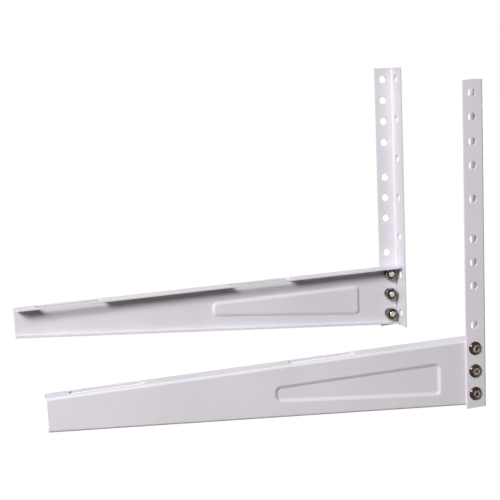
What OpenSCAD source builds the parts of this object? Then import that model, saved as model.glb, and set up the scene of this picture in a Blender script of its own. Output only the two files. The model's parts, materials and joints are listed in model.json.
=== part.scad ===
// Pair of folded sheet steel wall brackets that carry an outdoor air conditioner unit.
// X runs along the wall, Y into the wall, Z up. The wall is the plane Y = 0.
// The right bracket's posts stand on Z = 0, and X = 0 is midway between the brackets.

/* [Pair] */
// Distance between the outer faces of the two brackets
bracket_spacing = 207; // [120:1:900]
// How much higher the left bracket sits than the right one
left_raise = 49; // [0:1:120]

/* [Post] */
// Width of each leg of the post, outside
leg_w = 24; // [22:0.5:40]
// Sheet thickness of the post
post_t = 2; // [1.5:0.1:3]
// Outer radius of the post's fold
post_bend_r = 3; // [3:0.1:4]
// Diameter of the holes in both legs
hole_d = 9; // [8.6:0.1:10]
// Distance of the side holes from the wall
side_hole_in = 14; // [13:0.5:16]
// Distance of the top hole from the post's top end
top_margin = 13.5; // [8:0.5:25]
// Distance of the lowest screw from the post's bottom end
bottom_margin = 16; // [12:0.5:25]
// Distance between neighbouring holes of a group
hole_pitch = 25; // [18:0.5:35]
// Gap below the top group of the right post
right_gap = 35; // [20:0.5:60]
// Gap between two groups of holes
group_gap = 42.5; // [20:0.5:60]
// Distance from the lowest open side hole to the top screw
screw_gap = 25.5; // [20:0.5:40]
// Number of holes in the wall leg of the right post
right_wall_holes = 8; // [3:1:10]
// Number of holes in the wall leg of the left post
left_wall_holes = 7; // [3:1:10]

/* [Arm] */
// Distance of the arm's tip from the wall
arm_reach = 470; // [380:1:600]
// Sheet thickness of the arm
arm_t = 2; // [1.5:0.1:3]
// Gap between the arm and the post's wall leg
wall_gap = 2; // [1:0.5:6]
// Distance of the arm's lower edge below the lowest screw, at the wall
lip_below = 14.4; // [10.5:0.1:16]
// Height of the arm at its tip
arm_h_tip = 33.5; // [20:0.5:60]
// Clearance between the top washer and the flange's fold
flange_clear = 0.1; // [0.1:0.1:5]
// Width of the top flange, outside
flange_w = 19; // [18:0.5:30]
// Outer radius of the arm's folds
arm_bend_r = 2.8; // [2.6:0.1:4]
// Width of the lip along the arm's lower edge
lip_w = 8; // [5:0.5:14]
// Radius of the flange's free corner at the tip
flange_corner_r = 3; // [1:0.5:6]

/* [Foot slots] */
// Width of a slot
slot_w = 10; // [6:0.5:11]
// Length of a slot, end to end
slot_l = 75; // [20:1:100]
// Distance of the slots' middle line from the web's outer face
slot_in = 10.5; // [10:0.5:11.5]
// Distance of the inner slot's middle from the wall
slot_near = 185; // [120:1:220]
// Distance of the outer slot's middle from the arm's tip
slot_tip = 60; // [45:1:100]

/* [Pressed panel] */
// Distance of the panel's end from the wall
panel_start = 53.5; // [40:0.5:80]
// Length of the panel along the arm
panel_l = 189.5; // [80:0.5:260]
// Distance of the panel below the flange's top
panel_down = 19.5; // [12:0.5:26]
// Strip left below the panel at its wall end
panel_strip_wall = 12; // [9:0.5:18]
// Strip left below the panel at its far end
panel_strip_far = 15.5; // [9:0.5:18]
// Depth of the pressing
panel_depth = 2.5; // [1:0.1:4]
// Width of the panel's sloped sides
panel_slope = 3; // [2:0.1:5]
// Corner radius of the panel's floor
panel_corner_r = 2; // [1:0.1:5]

/* [Screws] */
// Number of screws in each bracket
screw_count = 3; // [2:1:3]
// Diameter of the screw shank
screw_d = 8; // [5:0.1:8]
// Diameter of the screw head
head_d = 14.5; // [10:0.1:16]
// Height of the screw head
head_h = 4.2; // [3:0.1:6]
// Height of the head's straight rim
head_rim = 0.8; // [0.4:0.1:1.2]
// Span of the cross recess
recess_span = 7.6; // [4:0.1:8]
// Width of one arm of the cross recess
recess_w = 1.5; // [0.8:0.1:2]
// Depth of the cross recess
recess_depth = 2.4; // [1:0.1:2.6]
// Length of the screw beyond the nut
screw_out = 1.6; // [1:0.1:4]
// Width across the nut's flats
nut_af = 13; // [12:0.1:13]
// Height of the nut
nut_h = 6.5; // [4:0.1:8]
// Outer diameter of the spring washer
washer_d = 12.4; // [12:0.1:13]
// Thickness of the spring washer
washer_t = 2; // [1:0.1:2.5]
// Width of the spring washer's split
washer_split = 1; // [0.5:0.1:2]
// Radial clearance of the washer on the screw
washer_play = 0.2; // [0.1:0.05:0.4]
// Radial clearance of the nut's bore on the screw
nut_play = 0.05; // [0.02:0.01:0.1]

/* [Hidden] */
$fn = 48;
cut = 1;
fold_stub = 1;
right_side = 1;
left_side = -1;
screw_numbers = [1:screw_count];

// Heights are measured from the bottom end of a post
top_screw_z = bottom_margin + (screw_count - 1) * hole_pitch;
lowest_open_z = top_screw_z + screw_gap;
group_z = lowest_open_z + group_gap;
group_top_z = group_z + 2 * hole_pitch;
right_single_z = group_top_z + group_gap;
right_four_z = right_single_z + right_gap;
left_four_z = group_top_z + group_gap;

right_holes = concat(
    [lowest_open_z], row_up(group_z, 3), [right_single_z], row_up(right_four_z, 4));
left_holes = concat([lowest_open_z], row_up(group_z, 3), row_up(left_four_z, 4));
right_post_l = right_four_z + 3 * hole_pitch + top_margin;
left_post_l = left_four_z + 3 * hole_pitch + top_margin;

flange_z = top_screw_z + washer_d / 2 + flange_clear + arm_bend_r;
arm_start = post_t + wall_gap;
arm_l = arm_reach - arm_start;
web_low_wall = bottom_margin - lip_below;
arm_h_wall = flange_z - web_low_wall;
web_low_tip = flange_z - arm_h_tip;
arm_slope = atan((web_low_tip - web_low_wall) / arm_l);
nut_corner_d = nut_af / cos(30);
nut_chamfer = (nut_corner_d - nut_af) / 2 * tan(30);
washer_x = -post_t - arm_t;
nut_x = washer_x - washer_t;
screw_l = post_t + arm_t + washer_t + nut_h + screw_out;
powder_coat = [0.86, 0.85, 0.89];
plated_steel = [0.62, 0.58, 0.54];

function row_up(z, count) = [for (i = [0:count - 1]) z + i * hole_pitch];
function screw_z(i) = top_screw_z - (i - 1) * hole_pitch;
function web_low(reach) = web_low_wall + (reach - arm_start) * tan(arm_slope);

// Folded section with its outer corner at the origin and its legs along -X and -Y
module fold_section(leg_x, leg_y, sheet, bend_r) {
    translate([-leg_x, -sheet]) square([leg_x - bend_r, sheet]);
    translate([-sheet, -leg_y]) square([sheet, leg_y - bend_r]);
    translate([-bend_r, -bend_r]) intersection() {
        difference() {
            circle(bend_r);
            circle(bend_r - sheet);
        }
        square(bend_r);
    }
}

// One bracket stands with its outer face at X = 0 and its inside towards -X
module place_bracket(side) {
    if (side == right_side)
        translate([bracket_spacing / 2, 0, 0]) children();
    else
        translate([-bracket_spacing / 2, 0, left_raise]) mirror([1, 0, 0]) children();
}

// Hole along X through the side leg and whatever lies against it
module side_hole(z) {
    depth = post_t + arm_t + 2 * cut;
    translate([cut - depth, -side_hole_in, z]) rotate([0, 90, 0]) cylinder(h = depth, d = hole_d);
}

module wall_hole(z) {
    depth = post_t + 2 * cut;
    translate([-leg_w / 2, cut, z]) rotate([90, 0, 0]) cylinder(h = depth, d = hole_d);
}

module screw_holes() {
    for (i = screw_numbers) side_hole(screw_z(i));
}

module post(length, side_holes, wall_holes) {
    wall_pitch = (length - top_margin - bottom_margin) / (wall_holes - 1);
    color(powder_coat) difference() {
        linear_extrude(length) fold_section(leg_w, leg_w, post_t, post_bend_r);
        for (z = side_holes) side_hole(z);
        screw_holes();
        for (i = [0:wall_holes - 1]) wall_hole(bottom_margin + i * wall_pitch);
    }
}

// Sheet of the web, drawn in Y and Z, which ends inside the short stubs of its two folds
module web_plate() {
    top = flange_z - arm_bend_r - fold_stub / 2;
    low_rise = (arm_bend_r + fold_stub / 2) / cos(arm_slope);
    rotate([90, 0, 90]) translate([0, 0, -arm_t]) linear_extrude(arm_t) polygon([
        [-arm_start, top],
        [-arm_reach, top],
        [-arm_reach, web_low_tip + low_rise],
        [-arm_start, web_low_wall + low_rise]
    ]);
}

module top_flange() {
    translate([0, -arm_start, flange_z]) rotate([90, 0, 0]) linear_extrude(arm_l)
        fold_section(flange_w, arm_bend_r + fold_stub, arm_t, arm_bend_r);
}

// Lip that follows the sloping lower edge and ends level with the web
module lower_lip() {
    run = arm_l / cos(arm_slope) + 4 * arm_bend_r;
    intersection() {
        translate([0, -arm_start, web_low_wall]) rotate([-arm_slope, 0, 0])
            translate([0, 2 * arm_bend_r, 0]) rotate([90, 0, 0]) linear_extrude(run)
            mirror([0, 1, 0]) fold_section(lip_w, arm_bend_r + fold_stub, arm_t, arm_bend_r);
        translate([-2 * lip_w, -arm_reach, web_low_wall - lip_w])
            cube([3 * lip_w, arm_l, 2 * arm_h_wall]);
    }
}

// Rounded frustum of the pressing: its mouth is at X = mouth_x and its floor lies deeper along -X
module pressing(mouth_x) {
    over = arm_t / 4;
    mouth_r = panel_corner_r + panel_slope;
    spread_r = mouth_r + over * panel_slope / panel_depth;
    panel_end = panel_start + panel_l;
    near_y = -panel_start - mouth_r;
    far_y = -panel_end + mouth_r;
    top_z = flange_z - panel_down - mouth_r;
    corners = [
        [near_y, top_z],
        [far_y, top_z],
        [far_y, web_low(panel_end) + panel_strip_far + mouth_r],
        [near_y, web_low(panel_start) + panel_strip_wall + mouth_r]
    ];
    hull() for (corner = corners) translate([mouth_x, corner[0], corner[1]]) {
        translate([over, 0, 0]) rotate([0, -90, 0]) cylinder(h = over / 10, r = spread_r, $fn = 32);
        translate([-panel_depth, 0, 0]) rotate([0, 90, 0])
            cylinder(h = over / 10, r = panel_corner_r, $fn = 32);
    }
}

module foot_slot(middle) {
    straight = slot_l - slot_w;
    translate([-slot_in, -middle, flange_z - arm_t - cut]) {
        for (end = [-1, 1]) translate([0, end * straight / 2, 0])
            cylinder(h = arm_t + 2 * cut, d = slot_w);
        translate([-slot_w / 2, -straight / 2, 0]) cube([slot_w, straight, arm_t + 2 * cut]);
    }
}

// Removes the flange's sharp free corner at the tip
module corner_round() {
    r = flange_corner_r;
    translate([-flange_w + r, -arm_reach + r, flange_z - arm_t - cut]) difference() {
        translate([-r - cut, -r - cut, 0]) cube([r + cut, r + cut, arm_t + 2 * cut]);
        translate([0, 0, -cut]) cylinder(h = arm_t + 4 * cut, r = r);
    }
}

module arm() {
    color(powder_coat) difference() {
        translate([-post_t, 0, 0]) difference() {
            union() {
                web_plate();
                top_flange();
                lower_lip();
                pressing(-arm_t);
            }
            pressing(0);
            foot_slot(slot_near);
            foot_slot(arm_reach - slot_tip);
            corner_round();
        }
        screw_holes();
    }
}

// Puts a turned piece on the axis of a screw, with its Z along the outward X
module on_screw(i, x) {
    translate([x, -side_hole_in, screw_z(i)]) rotate([0, 90, 0]) children();
}

// Domed head, cut from a ball that meets the straight rim
module screw_head() {
    dome_h = head_h - head_rim;
    dome_r = (head_d * head_d / 4 + dome_h * dome_h) / (2 * dome_h);
    difference() {
        intersection() {
            cylinder(h = head_h, d = head_d);
            translate([0, 0, head_h - dome_r]) sphere(dome_r);
        }
        for (turn = [0, 90]) rotate([0, 0, 45 + turn])
            translate([-recess_span / 2, -recess_w / 2, head_h - recess_depth])
            cube([recess_span, recess_w, recess_depth + cut]);
    }
}

module screw(i) {
    tip_chamfer = screw_out / 2;
    color(plated_steel) on_screw(i, 0) {
        screw_head();
        translate([0, 0, tip_chamfer - screw_l]) cylinder(h = screw_l - tip_chamfer, d = screw_d);
        translate([0, 0, -screw_l])
            cylinder(h = tip_chamfer, d1 = screw_d - 2 * tip_chamfer, d2 = screw_d);
    }
}

module washer(i) {
    color(plated_steel) on_screw(i, washer_x - washer_t) difference() {
        cylinder(h = washer_t, d = washer_d);
        translate([0, 0, -cut]) cylinder(h = washer_t + 2 * cut, d = screw_d + 2 * washer_play);
        translate([0, 0, washer_t / 2]) rotate([25, 0, 0])
            translate([0, -washer_split / 2, -2 * washer_t]) cube([washer_d, washer_split, 4 * washer_t]);
    }
}

module nut(i) {
    color(plated_steel) on_screw(i, nut_x - nut_h) rotate([0, 0, 30]) difference() {
        intersection() {
            cylinder(h = nut_h, d = nut_corner_d, $fn = 6);
            rotate_extrude() polygon([
                [0, 0], [nut_af / 2, 0], [nut_corner_d / 2, nut_chamfer],
                [nut_corner_d / 2, nut_h - nut_chamfer], [nut_af / 2, nut_h], [0, nut_h]
            ]);
        }
        translate([0, 0, -cut]) cylinder(h = nut_h + 2 * cut, d = screw_d + 2 * nut_play);
    }
}

place_bracket(right_side) post(right_post_l, right_holes, right_wall_holes);  // right_post
place_bracket(right_side) arm();  // right_arm
place_bracket(left_side) post(left_post_l, left_holes, left_wall_holes);  // left_post
place_bracket(left_side) arm();  // left_arm

for (i = screw_numbers) {
    place_bracket(right_side) screw(i);
    place_bracket(right_side) washer(i);
    place_bracket(right_side) nut(i);
    place_bracket(left_side) screw(i);
    place_bracket(left_side) washer(i);
    place_bracket(left_side) nut(i);
}
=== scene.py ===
"""Pair of folded steel wall brackets for an outdoor air conditioner unit, dressed for rendering."""
import json
import math

import bmesh
import bpy
from bpy.props import FloatProperty, FloatVectorProperty, IntProperty, PointerProperty
from mathutils import Matrix, Vector


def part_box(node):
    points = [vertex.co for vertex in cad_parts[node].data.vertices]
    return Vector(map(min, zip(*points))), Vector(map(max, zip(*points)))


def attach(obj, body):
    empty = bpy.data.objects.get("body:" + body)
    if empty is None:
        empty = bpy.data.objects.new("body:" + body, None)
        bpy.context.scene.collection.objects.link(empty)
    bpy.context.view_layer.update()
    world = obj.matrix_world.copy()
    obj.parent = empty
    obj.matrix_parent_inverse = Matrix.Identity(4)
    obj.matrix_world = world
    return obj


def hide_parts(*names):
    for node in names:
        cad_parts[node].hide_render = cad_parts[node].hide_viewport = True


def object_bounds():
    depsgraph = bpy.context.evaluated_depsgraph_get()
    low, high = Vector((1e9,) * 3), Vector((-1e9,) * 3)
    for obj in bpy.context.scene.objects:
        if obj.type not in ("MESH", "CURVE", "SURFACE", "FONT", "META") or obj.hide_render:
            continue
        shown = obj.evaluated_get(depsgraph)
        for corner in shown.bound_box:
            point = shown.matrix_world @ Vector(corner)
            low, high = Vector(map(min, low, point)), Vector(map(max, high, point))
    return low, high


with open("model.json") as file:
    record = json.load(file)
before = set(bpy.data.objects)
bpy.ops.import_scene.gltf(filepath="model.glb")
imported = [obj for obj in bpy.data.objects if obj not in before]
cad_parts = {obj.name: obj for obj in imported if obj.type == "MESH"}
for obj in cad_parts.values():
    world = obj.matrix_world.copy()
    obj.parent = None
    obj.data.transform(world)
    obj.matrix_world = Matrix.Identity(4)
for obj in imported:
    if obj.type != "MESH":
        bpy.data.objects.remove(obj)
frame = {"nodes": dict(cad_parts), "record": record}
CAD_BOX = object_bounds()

bl_info = {
    "name": "Air Conditioner Wall Brackets",
    "version": (1, 0, 0),
    "blender": (4, 5, 0),
    "location": "View3D > Sidebar > Wall Brackets",
    "description": "Builds a pair of folded sheet steel wall brackets with their screws, washers and nuts",
    "category": "Add Mesh",
}

SIDES = ("right", "left")
# Mesh values that darken the plating: partly its own brown tone, partly painted shade at rims, in recesses,
# on thread ridges and in bores, with painted glints left bright
TONE_AND_PAINTED_SHADE = "Tarnish"
MILLIMETRE = 0.001
QUARTER_TURN = math.pi / 2
EIGHTH_TURN = math.pi / 4
AXIS_X, AXIS_Y, AXIS_Z = 0, 1, 2
ALONG_X, ALONG_Y, ALONG_Z = Vector((1, 0, 0)), Vector((0, 1, 0)), Vector((0, 0, 1))

# Points nearer to each other than this are one point
TOUCH = 1e-6
# Faces that turn less than this against each other are one flat face
FLAT_TURN = math.radians(0.2)
# A point of a screw head lies in its recess from this depth below the dome
RECESS_START = 1e-5
# Share of the head's radius that the recess stays within
RECESS_REACH = 0.8
# Half the angle that one side of a hexagon spans
HALF_SIDE = math.pi / 6
# Slope of a nut's chamfered corners
NUT_CHAMFER = math.pi / 6
# Radius of a nut's turned outline, as a share of its corners' distance
OUTLINE_REACH = 1.05
# Radius up to which a nut counts as bore, as a share of the bore's mouth
BORE_REACH = 1.01
# Height of a nut's hexagon before it is cut, as a share of the nut's height
UNCUT_HEIGHT = 1.5


class SheetSettings(bpy.types.PropertyGroup):
    """Sizes that the posts and the arms share."""

    thickness: FloatProperty(
        name="Sheet Thickness", description="Thickness of the steel sheet", default=0.002, unit="LENGTH")
    edge_round: FloatProperty(
        name="Edge Rounding", description="Radius that the coating leaves on every cut edge",
        default=0.0004, unit="LENGTH")
    edge_steps: IntProperty(
        name="Edge Steps", description="Facets across one rounded edge", default=3, min=1)
    edge_angle: FloatProperty(
        name="Edge Angle", description="Sharpest turn that stays unrounded", subtype="ANGLE",
        default=math.radians(50))
    fold_steps: IntProperty(
        name="Fold Steps", description="Facets across one right-angle fold", default=8, min=2)
    hole_steps: IntProperty(
        name="Hole Steps", description="Straight edges around one hole", default=40, min=12)


class PostSettings(bpy.types.PropertyGroup):
    """Sizes of the angle posts that the frame doesn't give."""

    fold_radius: FloatProperty(
        name="Fold Radius", description="Outer radius of the post's fold", default=0.003, unit="LENGTH")


class ArmSettings(bpy.types.PropertyGroup):
    """Sizes of the arms that the frame doesn't give."""

    fold_radius: FloatProperty(
        name="Fold Radius", description="Outer radius of the arm's folds", default=0.0028, unit="LENGTH")
    tip_height: FloatProperty(
        name="Tip Height", description="Height of the arm at its tip", default=0.0335, unit="LENGTH")
    lip_width: FloatProperty(
        name="Lip Width", description="Width of the lip along the lower edge", default=0.008, unit="LENGTH")
    corner_radius: FloatProperty(
        name="Corner Radius", description="Radius of the flange's free corner at the tip",
        default=0.003, unit="LENGTH")
    panel_start: FloatProperty(
        name="Panel Start", description="Distance of the pressed panel from the wall",
        default=0.0535, unit="LENGTH")
    panel_length: FloatProperty(
        name="Panel Length", description="Length of the pressed panel along the arm",
        default=0.1895, unit="LENGTH")
    panel_down: FloatProperty(
        name="Panel Drop", description="Distance of the pressed panel below the flange",
        default=0.0195, unit="LENGTH")
    strip_wall: FloatProperty(
        name="Strip at the Wall", description="Flat strip below the panel at its wall end",
        default=0.012, unit="LENGTH")
    strip_far: FloatProperty(
        name="Strip at the Far End", description="Flat strip below the panel at its far end",
        default=0.0155, unit="LENGTH")
    panel_depth: FloatProperty(
        name="Panel Depth", description="Depth of the pressing", default=0.0016, unit="LENGTH")
    panel_slope: FloatProperty(
        name="Panel Slope", description="Width of the panel's curved sides", default=0.005, unit="LENGTH")
    panel_corner: FloatProperty(
        name="Panel Corner", description="Corner radius of the panel's floor", default=0.002, unit="LENGTH")
    panel_steps: IntProperty(
        name="Panel Steps", description="Rings across the panel's curved sides", default=9, min=3)


class FastenerSettings(bpy.types.PropertyGroup):
    """Sizes of the screws, washers and nuts that the frame doesn't give."""

    shank: FloatProperty(
        name="Shank", description="Diameter of the screw shank", default=0.008, unit="LENGTH")
    thread_pitch: FloatProperty(
        name="Thread Pitch", description="Distance between two ridges of the thread", default=0.00125,
        unit="LENGTH")
    thread_depth: FloatProperty(
        name="Thread Depth", description="Depth of the thread's grooves", default=0.0006, unit="LENGTH")
    head_rim: FloatProperty(
        name="Head Rim", description="Height of the head's straight rim", default=0.0008, unit="LENGTH")
    recess_span: FloatProperty(
        name="Recess Span", description="Span of the cross recess", default=0.0076, unit="LENGTH")
    recess_width: FloatProperty(
        name="Recess Width", description="Width of one arm of the cross recess", default=0.0015,
        unit="LENGTH")
    recess_depth: FloatProperty(
        name="Recess Depth", description="Depth of the cross recess", default=0.0024, unit="LENGTH")
    recess_taper: FloatProperty(
        name="Recess Taper", description="Share of the recess's span that is left at its floor",
        default=0.45, min=0.1, max=1)
    tip_chamfer: FloatProperty(
        name="Tip Chamfer", description="Chamfer on the end of the shank", default=0.0008, unit="LENGTH")
    nut_bore: FloatProperty(
        name="Nut Bore", description="Diameter of the nut's bore", default=0.0081, unit="LENGTH")
    countersink: FloatProperty(
        name="Countersink", description="Width of the chamfer at the nut's bore", default=0.0006,
        unit="LENGTH")
    washer_bore: FloatProperty(
        name="Washer Bore", description="Inner diameter of the spring washer", default=0.0084, unit="LENGTH")
    washer_split: FloatProperty(
        name="Washer Split", description="Width of the spring washer's split", default=0.001, unit="LENGTH")
    split_slant: FloatProperty(
        name="Split Slant", description="Slant of the spring washer's split", subtype="ANGLE",
        default=math.radians(25))
    edge_round: FloatProperty(
        name="Edge Rounding", description="Radius of the fasteners' worn edges", default=0.00012,
        unit="LENGTH")
    edge_steps: IntProperty(
        name="Edge Steps", description="Facets across one worn edge", default=2, min=1)
    edge_angle: FloatProperty(
        name="Edge Angle", description="Sharpest turn that stays unrounded", subtype="ANGLE",
        default=math.radians(30))
    round_steps: IntProperty(
        name="Round Steps", description="Straight edges around a turned piece", default=48, min=12)
    dome_rings: IntProperty(
        name="Dome Rings", description="Rings from the rim of a screw head to its middle", default=14, min=3)


class FinishSettings(bpy.types.PropertyGroup):
    """Colours of the two finishes."""

    powder: FloatVectorProperty(
        name="Powder Coat", description="Colour of the powder coat", subtype="COLOR", size=3,
        default=(0.715, 0.69, 0.74), min=0, max=1)
    powder_shade: FloatVectorProperty(
        name="Powder Coat Shade", description="Slightly deeper tone of the powder coat", subtype="COLOR",
        size=3, default=(0.66, 0.635, 0.685), min=0, max=1)
    steel: FloatVectorProperty(
        name="Plated Steel", description="Colour of the bright plating", subtype="COLOR", size=3,
        default=(0.72, 0.69, 0.65), min=0, max=1)
    # Brown of the plating, also the colour in which the fasteners' painted shade is drawn
    steel_shade: FloatVectorProperty(
        name="Plated Steel Shade", description="Brown tone that shows in the plating", subtype="COLOR",
        size=3, default=(0.045, 0.028, 0.02), min=0, max=1)


class ToneAndPaintedShadeSettings(bpy.types.PropertyGroup):
    """How dark the plating is at each place, from 0 for bright to 1 for brown: the plating's own brown tone,
    and painted shade at rims, in recesses, on thread ridges, at nut corners and in bores.
    """

    head: FloatProperty(
        name="Head", description="Brown in the middle of a screw head", default=0.45, min=0, max=1)
    # Painted shade: the head darkens towards its rim, in place of the dark reflection on the dome's sloping
    # side
    rim: FloatProperty(
        name="Rim", description="Brown at the rim of a screw head", default=0.95, min=0, max=1)
    rim_start: FloatProperty(
        name="Rim Start", description="Share of the head's radius where it starts to darken",
        default=0.5, min=0, max=1)
    rim_end: FloatProperty(
        name="Rim End", description="Share of the head's radius where it is darkest",
        default=0.64, min=0, max=1)
    # Painted shade inside the cross recess
    recess: FloatProperty(
        name="Recess", description="Brown in the cross recess", default=0.8, min=0, max=1)
    # Painted shade on the thread's ridges and end chamfer, leaving a bright spot on the screw's end
    ridge: FloatProperty(
        name="Ridge", description="Brown on the ridges of the thread", default=0.9, min=0, max=1)
    ridge_start: FloatProperty(
        name="Ridge Start", description="Share of the shank's radius where it starts to darken",
        default=0.78, min=0, max=1)
    ridge_end: FloatProperty(
        name="Ridge End", description="Share of the shank's radius where it is darkest",
        default=0.95, min=0, max=1)
    nut: FloatProperty(name="Nut", description="Brown on the face of a nut", default=0.1, min=0, max=1)
    # Painted shade: the nut's face darkens towards its chamfered corners
    corner: FloatProperty(
        name="Corner", description="Brown towards a nut's corners", default=0.55, min=0, max=1)
    corner_start: FloatProperty(
        name="Corner Start", description="Share of a nut's width where it starts to darken",
        default=0.45, min=0, max=1)
    corner_end: FloatProperty(
        name="Corner End", description="Share of a nut's width where it is darkest",
        default=0.52, min=0, max=1)
    # Painted shade in the nut's countersunk bore
    bore: FloatProperty(name="Bore", description="Brown in a nut's bore", default=1.0, min=0, max=1)
    washer: FloatProperty(
        name="Washer", description="Brown on the spring washers", default=0.55, min=0, max=1)


class StageSettings(bpy.types.PropertyGroup):
    """Camera, lamps, backdrop and floor."""

    azimuth: FloatProperty(
        name="Azimuth", description="Camera's turn round the brackets, from the tips' side",
        subtype="ANGLE", default=math.radians(70.872))
    elevation: FloatProperty(
        name="Elevation", description="Camera's height angle", subtype="ANGLE", default=math.radians(9.392))
    roll: FloatProperty(
        name="Roll", description="Camera's turn about its own view line", subtype="ANGLE",
        default=math.radians(-2.62))
    aim: FloatVectorProperty(
        name="Aim", description="Point in the middle of the picture", subtype="TRANSLATION", size=3,
        default=(0.00295, -0.22795, 0.17909))
    distance: FloatProperty(
        name="Distance", description="Distance from the camera to the aim", default=1.19939, unit="LENGTH")
    lens: FloatProperty(
        name="Lens", description="Focal length", default=80.458, min=1, unit="CAMERA")
    key_azimuth: FloatProperty(
        name="Key Azimuth", description="Main lamp's turn round the brackets", subtype="ANGLE",
        default=math.radians(43.6))
    key_elevation: FloatProperty(
        name="Key Elevation", description="Main lamp's height angle", subtype="ANGLE",
        default=math.radians(29.2))
    key_distance: FloatProperty(
        name="Key Distance", description="Distance of the main lamp from the brackets", default=3.6,
        unit="LENGTH")
    key_size: FloatProperty(
        name="Key Size", description="Diameter of the main lamp, which softens shadows", default=1.35,
        unit="LENGTH")
    key_strength: FloatProperty(
        name="Key Strength", description="Irradiance of the main lamp at the brackets", default=4.45, min=0)
    back_azimuth: FloatProperty(
        name="Back Azimuth", description="Turn of the lamp behind the brackets", subtype="ANGLE",
        default=math.radians(210))
    back_elevation: FloatProperty(
        name="Back Elevation", description="Height angle of the lamp behind the brackets",
        subtype="ANGLE", default=math.radians(8))
    back_spread: FloatProperty(
        name="Back Spread", description="Angle that the lamp behind the brackets fills", subtype="ANGLE",
        default=math.radians(30))
    back_strength: FloatProperty(
        name="Back Strength", description="Irradiance of the lamp behind the brackets", default=2.1, min=0)
    top_spread: FloatProperty(
        name="Top Spread", description="Angle that the lamp overhead fills in the sky", subtype="ANGLE",
        default=math.radians(70))
    top_strength: FloatProperty(
        name="Top Strength", description="Irradiance of the lamp overhead", default=0.45, min=0)
    sun_distance: FloatProperty(
        name="Sun Distance", description="Distance at which the two distant lamps are drawn",
        default=2, unit="LENGTH")
    ambient: FloatProperty(
        name="Ambient", description="Strength of the white surroundings as light", default=0.02, min=0)
    floor_drop: FloatProperty(
        name="Floor Drop", description="Distance from the brackets down to the floor", default=0.8,
        unit="LENGTH")
    floor_radius: FloatProperty(
        name="Floor Radius", description="Radius of the round floor", default=30, unit="LENGTH")
    floor_steps: IntProperty(
        name="Floor Steps", description="Straight edges around the floor", default=64, min=12)
    floor_tone: FloatVectorProperty(
        name="Floor Tone", description="Colour of the light that the floor throws back", subtype="COLOR",
        size=3, default=(0.11, 0.09, 0.07), min=0, max=1)
    floor_glow: FloatProperty(
        name="Floor Glow", description="Share of white that the camera sees on the floor at any light",
        default=0.985, min=0, max=1)


class BracketSettings(bpy.types.PropertyGroup):
    """All settings of the pair of brackets."""

    sheet: PointerProperty(type=SheetSettings)
    post: PointerProperty(type=PostSettings)
    arm: PointerProperty(type=ArmSettings)
    fastener: PointerProperty(type=FastenerSettings)
    finish: PointerProperty(type=FinishSettings)
    tone_and_painted_shade: PointerProperty(type=ToneAndPaintedShadeSettings)
    stage: PointerProperty(type=StageSettings)


def settings(name):
    """One group of settings of the open scene."""
    return getattr(bpy.context.scene.wall_brackets, name)


def mounts_of(prefix):
    """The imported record's mounts whose names start with a prefix."""
    return [mount for mount in frame["record"]["mounts"] if mount["name"].startswith(prefix)]


def row_places(mount, axis):
    """Places along an axis of the holes of one row, or of a single bore."""
    count = mount["dims"].get("count", 1)
    pitch = mount["dims"].get("spacing_y_mm", 0) * MILLIMETRE
    return [mount["pos_m"][axis] + (i - (count - 1) / 2) * pitch for i in range(count)]


def screw_nodes(side, kind):
    """Names of the CAD nodes of one kind of fastener in one bracket."""
    return sorted(name for name in frame["nodes"] if name.startswith(side + "_" + kind))


def outer_x(side, low, high):
    """Where the outer face of a box of one bracket lies along X."""
    return high.x if side == "right" else low.x


def add_polygon(bm, points):
    """A face through points given in order."""
    return bm.faces.new([bm.verts.new(point) for point in points])


def rounded_face(bm, points, sharp, radius, steps):
    """A face through points given in order, with the corners at some of them rounded."""
    others = set(bm.faces)
    made = add_polygon(bm, points)
    bmesh.ops.bevel(
        bm, geom=[made.verts[i] for i in sharp], offset=radius, offset_type="OFFSET", affect="VERTICES",
        segments=steps, profile=0.5, material=-1)
    return next(face for face in bm.faces if face not in others)


def add_round_loop(bm, centre, radius, steps, stretch=None):
    """Adds a loop of edges facing X: a circle, or a slot with a stretch between its two round ends."""
    turn = Matrix.Rotation(QUARTER_TURN, 4, ALONG_Y) @ Matrix.Rotation(math.pi / steps, 4, ALONG_Z)
    made = bmesh.ops.create_circle(
        bm, segments=steps, radius=radius, matrix=Matrix.Translation(centre) @ turn)["verts"]
    if stretch:
        for sign in (-1, 1):
            half = [v for v in made if sign * (v.co - centre).dot(stretch) > 0]
            bmesh.ops.translate(bm, verts=half, vec=stretch * sign / 2)


def punch(bm, blank):
    """Turns a blank's face and the loops drawn in it into one sheet with holes."""
    bmesh.ops.delete(bm, geom=[blank], context="FACES_ONLY")
    open_edges = [edge for edge in bm.edges if len(edge.link_faces) < 2]
    bmesh.ops.triangle_fill(bm, edges=open_edges, use_beauty=True)


def fold(bm, start, across, away, radius, steps):
    """Bends what lies past start, in the direction across, by a right angle away from the sheet."""
    step = QUARTER_TURN / steps
    chord = 2 * radius * math.sin(step / 2)
    lines = [start + across * chord * i for i in range(steps + 1)]
    for line in lines:
        everything = bm.verts[:] + bm.edges[:] + bm.faces[:]
        bmesh.ops.bisect_plane(bm, geom=everything, dist=TOUCH, plane_co=line, plane_no=across)
    past = [[v for v in bm.verts if (v.co - line).dot(across) > TOUCH] for line in lines]
    hinge = across.cross(away)
    for i in reversed(range(steps + 1)):
        angle = step / 2 if i in (0, steps) else step
        bmesh.ops.rotate(bm, cent=lines[i], matrix=Matrix.Rotation(angle, 3, hinge), verts=past[i])


def folded_length(radius, steps):
    """Length of blank that one fold takes up."""
    return 2 * radius * math.sin(QUARTER_TURN / steps / 2) * steps


def merge_flat_faces(bm):
    """Joins the triangles of each flat stretch into a few large faces."""
    bmesh.ops.dissolve_limit(
        bm, angle_limit=FLAT_TURN, use_dissolve_boundaries=False, verts=bm.verts, edges=bm.edges)


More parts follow.
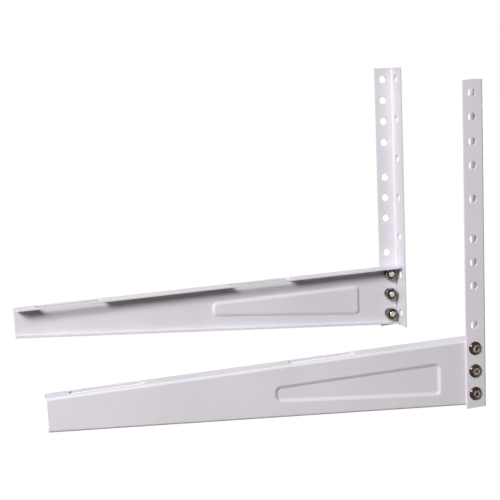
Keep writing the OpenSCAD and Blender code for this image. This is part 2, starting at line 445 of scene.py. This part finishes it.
def place(bm, side):
    """Moves a mesh from its bracket's own frame, outer face at X = 0, into the pair."""
    low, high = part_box(side + "_post")
    bmesh.ops.remove_doubles(bm, verts=bm.verts, dist=TOUCH)
    if side == "right":
        bmesh.ops.translate(bm, verts=bm.verts, vec=(high.x, 0, low.z))
        return
    bmesh.ops.scale(bm, verts=bm.verts, vec=(-1, 1, 1))
    bmesh.ops.translate(bm, verts=bm.verts, vec=(low.x, 0, low.z))
    bmesh.ops.reverse_faces(bm, faces=bm.faces)


def add_piece(name, bm, material, replaced):
    """Links a finished mesh as a smooth-shaded piece that stands for CAD nodes."""
    mesh = bpy.data.meshes.new(name)
    bm.to_mesh(mesh)
    bm.free()
    mesh.shade_smooth()
    mesh.materials.append(material)
    piece = bpy.data.objects.new(name, mesh)
    bpy.context.scene.collection.objects.link(piece)
    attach(piece, "root")
    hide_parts(*replaced)
    return piece


def round_edges(piece, sizes):
    """Rounds a piece's sharp edges a little and keeps its flats flat."""
    edge = piece.modifiers.new("Rounded Edges", "BEVEL")
    edge.width = sizes.edge_round
    edge.segments = sizes.edge_steps
    edge.limit_method = "ANGLE"
    edge.angle_limit = sizes.edge_angle
    flat = piece.modifiers.new("Flat Faces", "WEIGHTED_NORMAL")
    flat.keep_sharp = True


def finish_sheet(piece):
    """Gives a folded skin its thickness and rounds its cut edges."""
    sheet = settings("sheet")
    wall = piece.modifiers.new("Sheet Thickness", "SOLIDIFY")
    wall.thickness = sheet.thickness
    wall.offset = -1
    wall.use_even_offset = True
    wall.use_quality_normals = True
    round_edges(piece, sheet)


def post_blank(side):
    """Side leg, fold and wall leg of a post as one folded skin with its holes."""
    sheet, post = settings("sheet"), settings("post")
    low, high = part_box(side + "_post")
    leg, length = high.x - low.x, high.z - low.z
    straight = leg - post.fold_radius
    turned = folded_length(post.fold_radius, sheet.fold_steps)
    front, back = -leg, -post.fold_radius + turned + straight
    bm = bmesh.new()
    blank = add_polygon(bm, [(0, front, 0), (0, back, 0), (0, back, length), (0, front, length)])
    side_rows = mounts_of(side + "_side_hole")
    radius = mounts_of(side + "_side_hole_low")[0]["dims"]["r_mm"] * MILLIMETRE
    hole_y = side_rows[0]["pos_m"][AXIS_Y]
    heights = [z - low.z for row in side_rows for z in row_places(row, AXIS_Z)]
    for node in screw_nodes(side, "screw"):
        screw_low, screw_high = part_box(node)
        heights.append((screw_low.z + screw_high.z) / 2 - low.z)
    for z in heights:
        add_round_loop(bm, Vector((0, hole_y, z)), radius, sheet.hole_steps)
    for row in mounts_of(side + "_wall_hole"):
        inward = abs(row["pos_m"][AXIS_X] - outer_x(side, low, high))
        wall_y = -post.fold_radius + turned + inward - post.fold_radius
        for z in row_places(row, AXIS_Z):
            add_round_loop(bm, Vector((0, wall_y, z - low.z)), radius, sheet.hole_steps)
    punch(bm, blank)
    fold(bm, Vector((0, -post.fold_radius, 0)), ALONG_Y, -ALONG_X, post.fold_radius, sheet.fold_steps)
    return bm


def arm_blank(side):
    """Web, flange, lip and pressed panel of an arm as one folded skin."""
    sheet, arm = settings("sheet"), settings("arm")
    bracket_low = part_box(side + "_post")[0]
    low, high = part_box(side + "_arm")
    near, far = high.y, low.y
    top = high.z - bracket_low.z
    low_wall = low.z - bracket_low.z
    low_tip = top - arm.tip_height
    face_x = -sheet.thickness
    slope = math.atan2(low_tip - low_wall, near - far)
    down = Vector((0, -math.sin(slope), -math.cos(slope)))
    fold_top = top - arm.fold_radius
    fold_rise = arm.fold_radius / math.cos(slope)
    turned = folded_length(arm.fold_radius, sheet.fold_steps)
    flange_width = high.x - low.x
    flange_end = fold_top + turned + flange_width - arm.fold_radius
    lip_end = turned + arm.lip_width - arm.fold_radius
    wall_corner = Vector((face_x, near, low_wall + fold_rise))
    tip_corner = Vector((face_x, far, low_tip + fold_rise))

    bm = bmesh.new()
    free_corner = 1
    blank = rounded_face(bm, [
        (face_x, near, flange_end),
        (face_x, far, flange_end),
        tip_corner,
        tip_corner + down * lip_end,
        wall_corner + down * lip_end,
        wall_corner,
    ], [free_corner], arm.corner_radius, sheet.fold_steps)

    panel_far = -arm.panel_start - arm.panel_length
    mouth_corner = arm.panel_corner + arm.panel_slope

    def web_low(y):
        return low_wall + (near - y) * math.tan(slope)

    panel = rounded_face(bm, [
        (face_x, -arm.panel_start, top - arm.panel_down),
        (face_x, panel_far, top - arm.panel_down),
        (face_x, panel_far, web_low(panel_far) + arm.strip_far),
        (face_x, -arm.panel_start, web_low(-arm.panel_start) + arm.strip_wall),
    ], range(4), mouth_corner, sheet.fold_steps)

    for row in mounts_of(side + "_foot_slots"):
        radius = row["dims"]["hole_r_mm"] * MILLIMETRE
        straight = row["dims"]["slot_length_mm"] * MILLIMETRE - 2 * radius
        inward = abs(row["pos_m"][AXIS_X] - outer_x(side, low, high))
        slot_z = fold_top + turned + inward - arm.fold_radius
        for y in row_places(row, AXIS_Y):
            add_round_loop(
                bm, Vector((face_x, y, slot_z)), radius, sheet.hole_steps, Vector((0, straight, 0)))
    screw_hole = mounts_of(side + "_side_hole_low")[0]["dims"]["r_mm"] * MILLIMETRE
    for node in screw_nodes(side, "screw"):
        screw_low, screw_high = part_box(node)
        centre = (screw_low + screw_high) / 2
        add_round_loop(
            bm, Vector((face_x, centre.y, centre.z - bracket_low.z)), screw_hole, sheet.hole_steps)
    punch(bm, blank)
    press_panel(bm, panel)
    fold(bm, Vector((face_x, 0, fold_top)), ALONG_Z, -ALONG_X, arm.fold_radius, sheet.fold_steps)
    fold(bm, wall_corner, down, -ALONG_X, arm.fold_radius, sheet.fold_steps)
    return bm


def press_panel(bm, panel):
    """Sinks the panel's face in rings that follow a soft wave from its rim to its floor."""
    arm = settings("arm")
    outward = 1 if panel.normal.x > 0 else -1
    sunk = 0
    for i in range(arm.panel_steps):
        share = (i + 1) / arm.panel_steps
        deep = arm.panel_depth * (1 - math.cos(math.pi * share)) / 2
        bmesh.ops.inset_region(
            bm, faces=[panel], thickness=arm.panel_slope / arm.panel_steps, depth=(sunk - deep) * outward,
            use_boundary=True, use_even_offset=True)
        sunk = deep


def spin_round(bm, profile, steps, closed=False):
    """A body turned about Z from a profile of radius and height pairs."""
    verts = [bm.verts.new((radius, 0, height)) for radius, height in profile]
    ends = verts[1:] + verts[:1] if closed else verts[1:]
    edges = [bm.edges.new(pair) for pair in zip(verts, ends)]
    bmesh.ops.spin(
        bm, geom=verts + edges, cent=(0, 0, 0), axis=ALONG_Z, angle=2 * math.pi, steps=steps, use_merge=True)
    bmesh.ops.remove_doubles(bm, verts=bm.verts, dist=TOUCH)
    bmesh.ops.recalc_face_normals(bm, faces=bm.faces)


def combine(bm, tool, operation):
    """One mesh cut by another, or what the two have in common."""
    solids = []
    for label, source in (("work", bm), ("tool", tool)):
        mesh = bpy.data.meshes.new(label)
        source.to_mesh(mesh)
        source.free()
        solids.append(bpy.data.objects.new(label, mesh))
        bpy.context.scene.collection.objects.link(solids[-1])
    cut = solids[0].modifiers.new("Cut", "BOOLEAN")
    cut.operation = operation
    cut.solver = "EXACT"
    cut.use_self = True
    cut.object = solids[1]
    result = bmesh.new()
    result.from_object(solids[0], bpy.context.evaluated_depsgraph_get())
    for solid in solids:
        mesh = solid.data
        bpy.data.objects.remove(solid)
        bpy.data.meshes.remove(mesh)
    bmesh.ops.remove_doubles(result, verts=result.verts, dist=TOUCH)
    return result


def tone_and_painted_shade(bm, rule):
    """Paints how dark the plating is at each point, from 0 for bright to 1 for brown: its own tone together
    with painted shade.
    """
    layer = bm.verts.layers.float.new(TONE_AND_PAINTED_SHADE)
    for vert in bm.verts:
        vert[layer] = rule(math.hypot(vert.co.x, vert.co.y), vert.co.z)
    return layer


def fade(value, start, end):
    """0 before start, 1 past end and a straight rise between them."""
    return min(max((value - start) / (end - start), 0), 1)


def seat(bm, side, node):
    """Turns a fastener from its own axis to the screw's, with its outer end where the node has it."""
    low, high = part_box(node)
    sign = 1 if side == "right" else -1
    turn = Matrix.Rotation(sign * QUARTER_TURN, 4, ALONG_Y)
    outer_end = Vector((outer_x(side, low, high), (low.y + high.y) / 2, (low.z + high.z) / 2))
    bmesh.ops.transform(bm, matrix=Matrix.Translation(outer_end) @ turn, verts=bm.verts)


def cross_recess(span, width, depth, taper):
    """Tapered cross that a driver fits, with its mouth just above Z = 0."""
    bm = bmesh.new()
    for turn in (EIGHTH_TURN, -EIGHTH_TURN):
        made = bmesh.ops.create_cube(bm, size=1)["verts"]
        bmesh.ops.scale(bm, verts=made, vec=(span, width, 2 * depth))
        floor = [v for v in made if v.co.z < 0]
        bmesh.ops.scale(bm, verts=floor, vec=(taper, 1, 1))
        bmesh.ops.rotate(bm, cent=(0, 0, 0), matrix=Matrix.Rotation(turn, 3, ALONG_Z), verts=made)
    return bm


def pan_screw(side, node):
    """Screw with a domed head, a cross recess and a threaded end, its head's top at Z = 0."""
    fastener, brown = settings("fastener"), settings("tone_and_painted_shade")
    low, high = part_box(node)
    length, head_radius = high.x - low.x, (high.y - low.y) / 2
    head_height = abs(outer_x(side, low, high) - outer_x(side, *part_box(side + "_post")))
    dome_height = head_height - fastener.head_rim
    dome_radius = (head_radius ** 2 + dome_height ** 2) / (2 * dome_height)
    shank, root = fastener.shank / 2, fastener.shank / 2 - fastener.thread_depth

    profile = [(0, -length), (shank - fastener.tip_chamfer, -length)]
    z = -length + fastener.tip_chamfer
    thread_top = -head_height - 2 * settings("sheet").thickness
    while z + fastener.thread_pitch < thread_top:
        profile += [(shank, z), (root, z + fastener.thread_pitch / 2)]
        z += fastener.thread_pitch
    profile += [(shank, z), (shank, -head_height), (head_radius, -head_height)]
    opening = math.asin(head_radius / dome_radius)
    for i in range(fastener.dome_rings + 1):
        angle = opening * (1 - i / fastener.dome_rings)
        profile.append((dome_radius * math.sin(angle), dome_radius * (math.cos(angle) - 1)))
    bm = bmesh.new()
    spin_round(bm, profile, fastener.round_steps)
    recess = cross_recess(
        fastener.recess_span, fastener.recess_width, fastener.recess_depth, fastener.recess_taper)
    bm = combine(bm, recess, "DIFFERENCE")

    def in_recess(radius, height):
        dome = dome_radius * (math.cos(math.asin(min(radius / dome_radius, 1))) - 1)
        return -head_height < height < dome - RECESS_START and radius < head_radius * RECESS_REACH

    def rule(radius, height):
        # Painted shade on the thread's ridges and end chamfer, leaving the screw's end bright
        if height < -head_height:
            return brown.ridge * fade(radius, shank * brown.ridge_start, shank * brown.ridge_end)
        # Painted shade inside the cross recess
        if in_recess(radius, height):
            return brown.recess
        # Painted shade towards the rim of the head, in place of the dark reflection on the dome's side
        towards_rim = fade(radius, head_radius * brown.rim_start, head_radius * brown.rim_end)
        return brown.head + (brown.rim - brown.head) * towards_rim

    layer = tone_and_painted_shade(bm, rule)
    # Painted glints: points at the mouth of the recess are set bright, so the rounded mouth edges read as
    # highlights
    for edge in bm.edges:
        deep = [in_recess(math.hypot(v.co.x, v.co.y), v.co.z) for v in edge.verts]
        if deep[0] != deep[1]:
            edge.verts[deep.index(False)][layer] = 0
    return bm


def hex_nut(side, node):
    """Nut with chamfered corners and a countersunk bore, its outer face at Z = 0."""
    fastener, brown = settings("fastener"), settings("tone_and_painted_shade")
    low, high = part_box(node)
    height, flats = high.x - low.x, high.z - low.z
    corner = flats / 2 / math.cos(HALF_SIDE)
    reach = corner * OUTLINE_REACH
    rise = (reach - flats / 2) * math.tan(NUT_CHAMFER)
    bore, mouth = fastener.nut_bore / 2, fastener.nut_bore / 2 + fastener.countersink
    profile = [
        (flats / 2, 0), (reach, -rise), (reach, rise - height), (flats / 2, -height),
        (mouth, -height), (bore, fastener.countersink - height), (bore, -fastener.countersink), (mouth, 0),
    ]
    turned = bmesh.new()
    spin_round(turned, profile, fastener.round_steps, closed=True)
    bm = bmesh.new()
    bmesh.ops.create_cone(
        bm, cap_ends=True, segments=6, radius1=corner, radius2=corner, depth=height * UNCUT_HEIGHT,
        matrix=Matrix.Translation((0, 0, -height / 2)))
    bm = combine(bm, turned, "INTERSECT")

    def rule(radius, height):
        # Painted shade in the nut's countersunk bore
        if radius < mouth * BORE_REACH:
            return brown.bore
        # Painted shade towards the nut's chamfered corners
        towards_corner = fade(radius, flats * brown.corner_start, flats * brown.corner_end)
        return brown.nut + (brown.corner - brown.nut) * towards_corner

    tone_and_painted_shade(bm, rule)
    return bm


def spring_washer(side, node):
    """Split ring with a slanted split, its outer face at Z = 0."""
    fastener = settings("fastener")
    low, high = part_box(node)
    height, radius = high.x - low.x, (high.y - low.y) / 2
    bore = fastener.washer_bore / 2
    middle = (radius + bore) / 2
    gap = fastener.washer_split / middle
    bm = bmesh.new()
    section = add_polygon(bm, [(bore, 0, -height), (radius, 0, -height), (radius, 0, 0), (bore, 0, 0)])
    bmesh.ops.rotate(bm, cent=(0, 0, 0), matrix=Matrix.Rotation(gap / 2, 3, ALONG_Z), verts=bm.verts)
    bmesh.ops.spin(
        bm, geom=section.verts[:] + section.edges[:] + [section], cent=(0, 0, 0), axis=ALONG_Z,
        angle=2 * math.pi - gap, steps=fastener.round_steps, use_merge=False)
    top = [v for v in bm.verts if v.co.z > -height / 2]
    slant = height * math.tan(fastener.split_slant) / middle
    bmesh.ops.rotate(bm, cent=(0, 0, 0), matrix=Matrix.Rotation(slant, 3, ALONG_Z), verts=top)
    bmesh.ops.remove_doubles(bm, verts=bm.verts, dist=TOUCH)
    bmesh.ops.recalc_face_normals(bm, faces=bm.faces)
    tone_and_painted_shade(bm, lambda radius_here, height_here: settings("tone_and_painted_shade").washer)
    return bm


def face_out(bm, outward):
    """Turns the faces of an open skin so that most of it looks outward."""
    bmesh.ops.recalc_face_normals(bm, faces=bm.faces)
    if sum(face.calc_area() * face.normal.dot(outward) for face in bm.faces) < 0:
        bmesh.ops.reverse_faces(bm, faces=bm.faces)


def new_tree_group(name, inputs, outputs):
    """An empty shader node group with its named sockets."""
    group = bpy.data.node_groups.new(name, "ShaderNodeTree")
    for label, kind, value in inputs:
        socket = group.interface.new_socket(name=label, in_out="INPUT", socket_type=kind)
        if value is not None:
            socket.default_value = value
    for label, kind in outputs:
        group.interface.new_socket(name=label, in_out="OUTPUT", socket_type=kind)
    return group


def add_noise(group, vector, size, detail, roughness, low, high):
    """Noise with patches of one size, as it is and with its middle range spread from 0 to 1."""
    nodes, links = group.nodes, group.links
    scale = nodes.new("ShaderNodeMath")
    scale.operation = "DIVIDE"
    scale.inputs[0].default_value = 1.0
    links.new(size, scale.inputs[1])
    noise = nodes.new("ShaderNodeTexNoise")
    noise.inputs["Detail"].default_value = detail
    noise.inputs["Roughness"].default_value = roughness
    links.new(vector, noise.inputs["Vector"])
    links.new(scale.outputs[0], noise.inputs["Scale"])
    spread = nodes.new("ShaderNodeMapRange")
    spread.inputs["From Min"].default_value = low
    spread.inputs["From Max"].default_value = high
    links.new(noise.outputs["Fac"], spread.inputs["Value"])
    return noise.outputs["Fac"], spread.outputs["Result"]


def mottle_group():
    """Slow change between two tones."""
    name = "Mottled Tone"
    if name in bpy.data.node_groups:
        return bpy.data.node_groups[name]
    group = new_tree_group(name, [
        ("Vector", "NodeSocketVector", None),
        ("Tone", "NodeSocketColor", (0.8, 0.8, 0.8, 1)),
        ("Shade", "NodeSocketColor", (0.5, 0.5, 0.5, 1)),
        ("Patch Size", "NodeSocketFloat", 0.05),
        ("Contrast", "NodeSocketFloat", 1.0),
        # Bias shifts towards the second tone; the plating feeds its painted shade and brown tone through it
        ("Bias", "NodeSocketFloat", 0.0),
    ], [("Color", "NodeSocketColor")])
    nodes, links = group.nodes, group.links
    given, result = nodes.new("NodeGroupInput"), nodes.new("NodeGroupOutput")
    mask = add_noise(
        group, given.outputs["Vector"], given.outputs["Patch Size"], detail=4, roughness=0.5,
        low=0.35, high=0.65)[1]
    amount = nodes.new("ShaderNodeMath")
    amount.operation = "MULTIPLY_ADD"
    amount.use_clamp = True
    links.new(mask, amount.inputs[0])
    links.new(given.outputs["Contrast"], amount.inputs[1])
    links.new(given.outputs["Bias"], amount.inputs[2])
    mix = nodes.new("ShaderNodeMix")
    mix.data_type = "RGBA"
    links.new(amount.outputs[0], mix.inputs["Factor"])
    links.new(given.outputs["Tone"], mix.inputs["A"])
    links.new(given.outputs["Shade"], mix.inputs["B"])
    links.new(mix.outputs["Result"], result.inputs["Color"])
    return group


def grain_group():
    """Fine relief of a coated or plated surface, as a height and a mask."""
    name = "Surface Grain"
    if name in bpy.data.node_groups:
        return bpy.data.node_groups[name]
    group = new_tree_group(name, [
        ("Vector", "NodeSocketVector", None),
        ("Grain Size", "NodeSocketFloat", 0.001),
    ], [("Height", "NodeSocketFloat"), ("Mask", "NodeSocketFloat")])
    given, result = group.nodes.new("NodeGroupInput"), group.nodes.new("NodeGroupOutput")
    height, mask = add_noise(
        group, given.outputs["Vector"], given.outputs["Grain Size"], detail=2, roughness=0.6,
        low=0.3, high=0.7)
    group.links.new(height, result.inputs["Height"])
    group.links.new(mask, result.inputs["Mask"])
    return group


def place_group(tree, group, vector, **values):
    """One use of a node group in a material, with its own values."""
    used = tree.nodes.new("ShaderNodeGroup")
    used.node_tree = group
    tree.links.new(vector, used.inputs["Vector"])
    for label, value in values.items():
        used.inputs[label.replace("_", " ")].default_value = value
    return used


def finish_material(
        name, tone, shade, patch, contrast, grain, bump, roughness, metallic, gloss, painted=None):
    """Material of one finish: mottled tone, darker where the mesh carries painted shade or its own darker
    tone, and a fine relief.
    """
    if name in bpy.data.materials:
        return bpy.data.materials[name]
    material = bpy.data.materials.new(name)
    material.use_nodes = True
    tree = material.node_tree
    shader = tree.nodes["Principled BSDF"]
    where = tree.nodes.new("ShaderNodeTexCoord").outputs["Object"]
    mottle = place_group(
        tree, mottle_group(), where, Tone=(*tone, 1), Shade=(*shade, 1), Patch_Size=patch, Contrast=contrast)
    # The mesh's painted shade and own tone push the colour towards the second tone
    if painted:
        painted_shade = tree.nodes.new("ShaderNodeAttribute")
        painted_shade.attribute_name = painted
        tree.links.new(painted_shade.outputs["Fac"], mottle.inputs["Bias"])
    relief = place_group(tree, grain_group(), where, Grain_Size=grain)
    tree.links.new(mottle.outputs["Color"], shader.inputs["Base Color"])
    rough = tree.nodes.new("ShaderNodeMapRange")
    rough.inputs["To Min"].default_value = roughness[0]
    rough.inputs["To Max"].default_value = roughness[1]
    tree.links.new(relief.outputs["Mask"], rough.inputs["Value"])
    tree.links.new(rough.outputs["Result"], shader.inputs["Roughness"])
    dent = tree.nodes.new("ShaderNodeBump")
    dent.inputs["Strength"].default_value = 1.0
    dent.inputs["Distance"].default_value = bump
    tree.links.new(relief.outputs["Height"], dent.inputs["Height"])
    tree.links.new(dent.outputs["Normal"], shader.inputs["Normal"])
    shader.inputs["Metallic"].default_value = metallic
    shader.inputs["Specular IOR Level"].default_value = gloss
    return material


def powder_coat():
    """Satin powder coat with a slight orange peel."""
    finish = settings("finish")
    return finish_material(
        "satin_powder_coat", finish.powder, finish.powder_shade, patch=0.06, contrast=0.6, grain=0.0012,
        bump=0.00002, roughness=(0.34, 0.42), metallic=0.0, gloss=0.35)


def plated_steel():
    """Bright zinc plating that darkens to brown where the mesh carries its own brown tone and painted shade.
    """
    finish = settings("finish")
    return finish_material(
        "bright_zinc_plating", finish.steel, finish.steel_shade, patch=0.0018, contrast=0.55, grain=0.0006,
        bump=0.00001, roughness=(0.14, 0.26), metallic=1.0, gloss=0.5, painted=TONE_AND_PAINTED_SHADE)


def add_sheet_pieces(blank, kind, label):
    """Cuts and folds one kind of sheet piece for both brackets."""
    for side in SIDES:
        bm = blank(side)
        place(bm, side)
        face_out(bm, ALONG_X if side == "right" else -ALONG_X)
        merge_flat_faces(bm)
        finish_sheet(add_piece(f"{side}_{label}", bm, powder_coat(), [f"{side}_{kind}"]))


class BRACKETS_OT_posts(bpy.types.Operator):
    """Cuts, punches and folds the two angle posts"""

    bl_idname = "brackets.posts"
    bl_label = "Fold the Posts"

    def execute(self, context):
        add_sheet_pieces(post_blank, "post", "angle_post")
        return {"FINISHED"}


class BRACKETS_OT_arms(bpy.types.Operator):
    """Cuts, punches, presses and folds the two arms"""

    bl_idname = "brackets.arms"
    bl_label = "Fold the Arms"

    def execute(self, context):
        add_sheet_pieces(arm_blank, "arm", "folded_arm")
        return {"FINISHED"}


class BRACKETS_OT_fasteners(bpy.types.Operator):
    """Turns and cuts the screws, the spring washers and the nuts"""

    bl_idname = "brackets.fasteners"
    bl_label = "Make the Fasteners"

    def execute(self, context):
        kinds = (
            ("screw", "pan_screw", pan_screw),
            ("washer", "spring_washer", spring_washer),
            ("nut", "hex_nut", hex_nut),
        )
        for side in SIDES:
            for kind, label, build in kinds:
                for i, node in enumerate(screw_nodes(side, kind), start=1):
                    bm = build(side, node)
                    seat(bm, side, node)
                    piece = add_piece(f"{side}_{label}_{i}", bm, plated_steel(), [node])
                    round_edges(piece, settings("fastener"))
        return {"FINISHED"}


def direction(azimuth, elevation):
    """Unit vector towards a lamp or camera; azimuth 0 lies along -Y and grows towards +X."""
    flat = math.cos(elevation)
    return Vector((math.sin(azimuth) * flat, -math.cos(azimuth) * flat, math.sin(elevation)))


def seen_directly(tree):
    """1 where the camera sees a surface straight, in a mirror or through glass, and 0 elsewhere."""
    path = tree.nodes.new("ShaderNodeLightPath")
    total = path.outputs["Is Camera Ray"]
    for label in ("Is Glossy Ray", "Is Transmission Ray"):
        add = tree.nodes.new("ShaderNodeMath")
        add.operation = "ADD"
        add.use_clamp = True
        tree.links.new(total, add.inputs[0])
        tree.links.new(path.outputs[label], add.inputs[1])
        total = add.outputs[0]
    return total


def add_lamp(light, towards, location):
    """Places a lamp at a location so that its light comes from one direction."""
    lamp = bpy.data.objects.new(light.name, light)
    lamp.rotation_euler = towards.to_track_quat("Z", "Y").to_euler()
    lamp.location = location
    bpy.context.scene.collection.objects.link(lamp)


def add_key_lamp(stage):
    """Broad round main lamp, with its power set from the light that it gives at the brackets."""
    light = bpy.data.lights.new("key_lamp", "AREA")
    light.shape = "DISK"
    light.size = stage.key_size
    light.energy = math.pi * stage.key_distance ** 2 * stage.key_strength
    towards = direction(stage.key_azimuth, stage.key_elevation)
    add_lamp(light, towards, Vector(stage.aim) + towards * stage.key_distance)


def add_sun(name, towards, strength, spread):
    """Distant lamp that fills a wide angle of the sky."""
    light = bpy.data.lights.new(name, "SUN")
    light.energy = strength
    light.angle = spread
    add_lamp(light, towards, towards * settings("stage").sun_distance)


def add_surroundings(stage):
    """White surroundings that light the brackets less than they show."""
    world = bpy.data.worlds.new("studio")
    bpy.context.scene.world = world
    world.use_nodes = True
    tree = world.node_tree
    strength = tree.nodes.new("ShaderNodeMapRange")
    strength.inputs["To Min"].default_value = stage.ambient
    strength.inputs["To Max"].default_value = 1.0
    tree.links.new(seen_directly(tree), strength.inputs["Value"])
    background = tree.nodes["Background"]
    background.inputs["Color"].default_value = (1, 1, 1, 1)
    tree.links.new(strength.outputs["Result"], background.inputs["Strength"])


def floor_material(stage):
    """White floor that keeps a soft shadow."""
    material = bpy.data.materials.new("studio_floor")
    material.use_nodes = True
    tree = material.node_tree
    tree.nodes.clear()
    result = tree.nodes.new("ShaderNodeOutputMaterial")
    diffuse = tree.nodes.new("ShaderNodeBsdfDiffuse")
    diffuse.inputs["Color"].default_value = (*stage.floor_tone, 1)
    glow = tree.nodes.new("ShaderNodeEmission")
    share = tree.nodes.new("ShaderNodeMath")
    share.operation = "MULTIPLY"
    share.inputs[1].default_value = stage.floor_glow
    tree.links.new(seen_directly(tree), share.inputs[0])
    tree.links.new(share.outputs[0], glow.inputs["Strength"])
    both = tree.nodes.new("ShaderNodeAddShader")
    tree.links.new(diffuse.outputs["BSDF"], both.inputs[0])
    tree.links.new(glow.outputs["Emission"], both.inputs[1])
    tree.links.new(both.outputs["Shader"], result.inputs["Surface"])
    return material


def add_floor(stage):
    """Round floor below the brackets."""
    bm = bmesh.new()
    bmesh.ops.create_circle(
        bm, cap_ends=True, segments=stage.floor_steps, radius=stage.floor_radius,
        matrix=Matrix.Translation((0, 0, CAD_BOX[0].z - stage.floor_drop)))
    mesh = bpy.data.meshes.new("studio_floor")
    bm.to_mesh(mesh)
    bm.free()
    mesh.materials.append(floor_material(stage))
    floor = bpy.data.objects.new("studio_floor", mesh)
    bpy.context.scene.collection.objects.link(floor)


def add_camera(stage):
    """Camera at the photograph's viewing angle."""
    view = bpy.data.cameras.new("camera")
    view.lens = stage.lens
    camera = bpy.data.objects.new("camera", view)
    centre = Vector(stage.aim) + direction(stage.azimuth, stage.elevation) * stage.distance
    camera.matrix_world = (
        Matrix.Translation(centre)
        @ Matrix.Rotation(stage.azimuth, 4, "Z")
        @ Matrix.Rotation(QUARTER_TURN - stage.elevation, 4, "X")
        @ Matrix.Rotation(stage.roll, 4, "Z")
    )
    bpy.context.scene.collection.objects.link(camera)
    bpy.context.scene.camera = camera


class BRACKETS_OT_stage(bpy.types.Operator):
    """Sets up the floor, the lamps, the white surroundings and the camera"""

    bl_idname = "brackets.stage"
    bl_label = "Set the Stage"

    def execute(self, context):
        stage = settings("stage")
        context.scene.view_settings.view_transform = "Standard"
        add_surroundings(stage)
        add_floor(stage)
        add_key_lamp(stage)
        add_sun("top_lamp", ALONG_Z, stage.top_strength, stage.top_spread)
        behind = direction(stage.back_azimuth, stage.back_elevation)
        add_sun("back_lamp", behind, stage.back_strength, stage.back_spread)
        add_camera(stage)
        return {"FINISHED"}


class BRACKETS_PT_panel(bpy.types.Panel):
    """Lists the steps that build the pair of brackets"""

    bl_idname = "BRACKETS_PT_panel"
    bl_label = "Wall Brackets"
    bl_space_type = "VIEW_3D"
    bl_region_type = "UI"
    bl_category = "Wall Brackets"

    def draw(self, context):
        for operator in OPERATORS:
            self.layout.operator(operator.bl_idname)


OPERATORS = (BRACKETS_OT_posts, BRACKETS_OT_arms, BRACKETS_OT_fasteners, BRACKETS_OT_stage)
CLASSES = (
    SheetSettings, PostSettings, ArmSettings, FastenerSettings, FinishSettings, ToneAndPaintedShadeSettings,
    StageSettings, BracketSettings, *OPERATORS, BRACKETS_PT_panel,
)


def register():
    for each in CLASSES:
        bpy.utils.register_class(each)
    bpy.types.Scene.wall_brackets = PointerProperty(type=BracketSettings)


def unregister():
    del bpy.types.Scene.wall_brackets
    for each in reversed(CLASSES):
        bpy.utils.unregister_class(each)


def main():
    register()
    bpy.ops.brackets.posts()
    bpy.ops.brackets.arms()
    bpy.ops.brackets.fasteners()
    bpy.ops.brackets.stage()
    bpy.context.view_layer.update()


if __name__ == "__main__":
    main()
